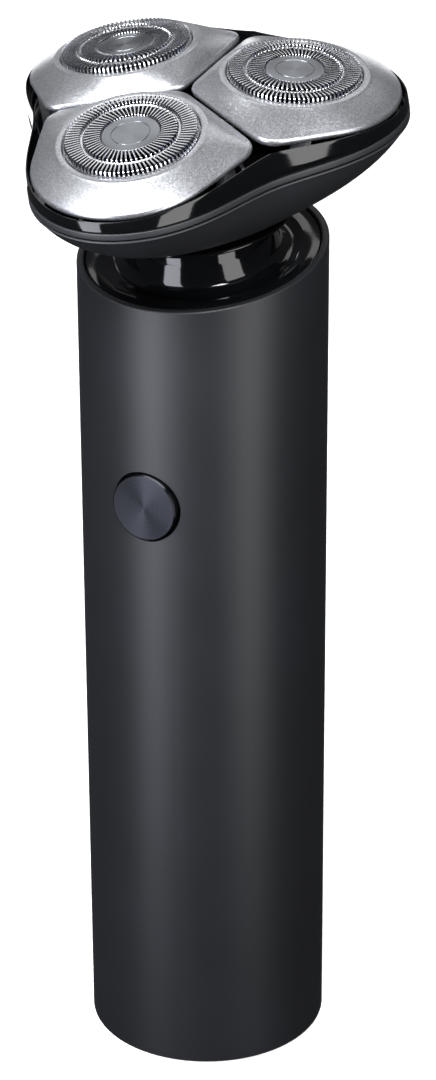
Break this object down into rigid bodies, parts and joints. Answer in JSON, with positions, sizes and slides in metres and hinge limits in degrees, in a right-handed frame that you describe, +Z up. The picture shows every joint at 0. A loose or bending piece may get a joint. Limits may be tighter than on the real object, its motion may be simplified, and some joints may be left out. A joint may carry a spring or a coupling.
{
  "type": "rotary electric shaver",
  "caption": "Cordless rotary shaver: a slim round handle with a press button, and a tilting trefoil head that carries sprung pods with slotted caps over spinning cutters.",
  "frame": {"origin": "centre of the handle's flat base, which it stands on", "axes": "+Z up along the handle, -Y towards the front with the button, +X to the right seen from the front"},
  "size_m": [0.063, 0.0588, 0.1721],
  "materials": {
    "body_black": "satin black anodised aluminium tube",
    "matte_black": "fine matte moulded ABS",
    "gloss_black": "piano black ABS",
    "silver_paint": "satin silver metallic paint on ABS",
    "polished_steel": "polished stainless steel foil",
    "brushed_steel": "turned stainless steel",
    "plated_steel": "zinc plated steel",
    "rubber": "black nitrile rubber",
    "grey_nylon": "glass-filled nylon",
    "white_acetal": "moulded acetal",
    "board": "green solder mask on glass epoxy",
    "cell_wrap": "blue heat-shrink wrap"
  },
  "bodies": {
    "handle": {"body_tube": "body_black", "bottom_cap": "matte_black", "bottom_seal": "rubber", "bottom_screw_left": "plated_steel", "bottom_screw_right": "plated_steel", "chassis": "grey_nylon", "motor_can": "plated_steel", "motor_mount": "plated_steel", "motor_screw_left": "plated_steel", "motor_screw_right": "plated_steel", "battery_cell": "cell_wrap", "battery_tab_bottom": "plated_steel", "battery_tab_top": "plated_steel", "circuit_board": "board", "control_chip": "matte_black", "tact_switch": "matte_black", "usb_socket": "plated_steel", "button_guide": "matte_black", "top_collar": "gloss_black", "shaft_seal": "rubber"},
    "button": {"button_cap": "brushed_steel"},
    "rotor": {"motor_shaft": "polished_steel", "drive_dog": "white_acetal"},
    "head_seat": {"neck_ring": "gloss_black"},
    "gimbal": {"gimbal_ring": "plated_steel"},
    "head": {"lower_shell": "matte_black", "frame_ring": "matte_black", "head_deck": "gloss_black", "gear_plate": "grey_nylon", "head_screw_1": "plated_steel", "head_screw_2": "plated_steel", "head_screw_3": "plated_steel"},
    "centre_gear": {"centre_gear": "white_acetal"},
    "gear_front": {"drive_gear_front": "white_acetal", "spindle_front": "brushed_steel", "spindle_spring_front": "polished_steel"},
    "pod_front": {"pod_front": "silver_paint", "cap_front": "polished_steel", "cap_hub_front": "brushed_steel", "retainer_front": "matte_black"},
    "cutter_front": {"cutter_front": "brushed_steel"},
    "gear_right": {"drive_gear_right": "white_acetal", "spindle_right": "brushed_steel", "spindle_spring_right": "polished_steel"},
    "pod_right": {"pod_right": "silver_paint", "cap_right": "polished_steel", "cap_hub_right": "brushed_steel", "retainer_right": "matte_black"},
    "cutter_right": {"cutter_right": "brushed_steel"},
    "gear_left": {"drive_gear_left": "white_acetal", "spindle_left": "brushed_steel", "spindle_spring_left": "polished_steel"},
    "pod_left": {"pod_left": "silver_paint", "cap_left": "polished_steel", "cap_hub_left": "brushed_steel", "retainer_left": "matte_black"},
    "cutter_left": {"cutter_left": "brushed_steel"}
  },
  "joints": [
    {"name": "button_press", "type": "slide", "parent": "handle", "child": "button", "axis": [0, 1, 0], "range_m": [0, 0.0005], "stiffness_N_per_m": 3000},
    {"name": "rotor_spin", "type": "hinge", "parent": "handle", "child": "rotor", "pos_m": [0, 0, 0.14], "axis": [0, -0.2028, 0.9792], "continuous": true},
    {"name": "head_pull", "type": "slide", "parent": "handle", "child": "head_seat", "axis": [0, -0.2028, 0.9792], "range_m": [0, 0.025]},
    {"name": "head_pitch", "type": "hinge", "parent": "head_seat", "child": "gimbal", "pos_m": [0, -0.00191, 0.1492], "axis": [1, 0, 0], "range_deg": [-3, 3], "stiffness_Nm_per_rad": 0.5},
    {"name": "head_roll", "type": "hinge", "parent": "gimbal", "child": "head", "pos_m": [0, -0.00191, 0.1492], "axis": [0, 0.9792, 0.2028], "range_deg": [-3, 3], "stiffness_Nm_per_rad": 0.5},
    {"name": "centre_gear_spin", "type": "hinge", "parent": "head", "child": "centre_gear", "pos_m": [0, -0.00304, 0.15469], "axis": [0, -0.2028, 0.9792], "continuous": true},
    {"name": "gear_front_spin", "type": "hinge", "parent": "head", "child": "gear_front", "pos_m": [0, -0.01895, 0.15139], "axis": [0, -0.2028, 0.9792], "continuous": true},
    {"name": "gear_right_spin", "type": "hinge", "parent": "head", "child": "gear_right", "pos_m": [0.01407, 0.00491, 0.15634], "axis": [0, -0.2028, 0.9792], "continuous": true},
    {"name": "gear_left_spin", "type": "hinge", "parent": "head", "child": "gear_left", "pos_m": [-0.01407, 0.00491, 0.15634], "axis": [0, -0.2028, 0.9792], "continuous": true},
    {"name": "pod_front_tilt", "type": "hinge", "parent": "head", "child": "pod_front", "pos_m": [0, -0.02037, 0.15825], "axis": [1, 0, 0], "range_deg": [-4, 2], "stiffness_Nm_per_rad": 0.12},
    {"name": "pod_right_tilt", "type": "hinge", "parent": "head", "child": "pod_right", "pos_m": [0.01407, 0.00349, 0.16319], "axis": [-0.5, 0.848, 0.1756], "range_deg": [-4, 2], "stiffness_Nm_per_rad": 0.12},
    {"name": "pod_left_tilt", "type": "hinge", "parent": "head", "child": "pod_left", "pos_m": [-0.01407, 0.00349, 0.16319], "axis": [-0.5, -0.848, -0.1756], "range_deg": [-4, 2], "stiffness_Nm_per_rad": 0.12},
    {"name": "cutter_front_spin", "type": "hinge", "parent": "pod_front", "child": "cutter_front", "pos_m": [0, -0.02037, 0.15825], "axis": [0, -0.3206, 0.9472], "continuous": true},
    {"name": "cutter_right_spin", "type": "hinge", "parent": "pod_right", "child": "cutter_right", "pos_m": [0.01407, 0.00349, 0.16319], "axis": [0.1055, -0.1416, 0.9843], "continuous": true},
    {"name": "cutter_left_spin", "type": "hinge", "parent": "pod_left", "child": "cutter_left", "pos_m": [-0.01407, 0.00349, 0.16319], "axis": [-0.1055, -0.1416, 0.9843], "continuous": true}
  ],
  "couplings": [
    {"joint": "centre_gear_spin", "follows": "rotor_spin", "ratio": 1},
    {"joint": "gear_front_spin", "follows": "rotor_spin", "ratio": -0.77778},
    {"joint": "gear_right_spin", "follows": "rotor_spin", "ratio": -0.77778},
    {"joint": "gear_left_spin", "follows": "rotor_spin", "ratio": -0.77778},
    {"joint": "cutter_front_spin", "follows": "rotor_spin", "ratio": -0.77778},
    {"joint": "cutter_right_spin", "follows": "rotor_spin", "ratio": -0.77778},
    {"joint": "cutter_left_spin", "follows": "rotor_spin", "ratio": -0.77778}
  ]
}
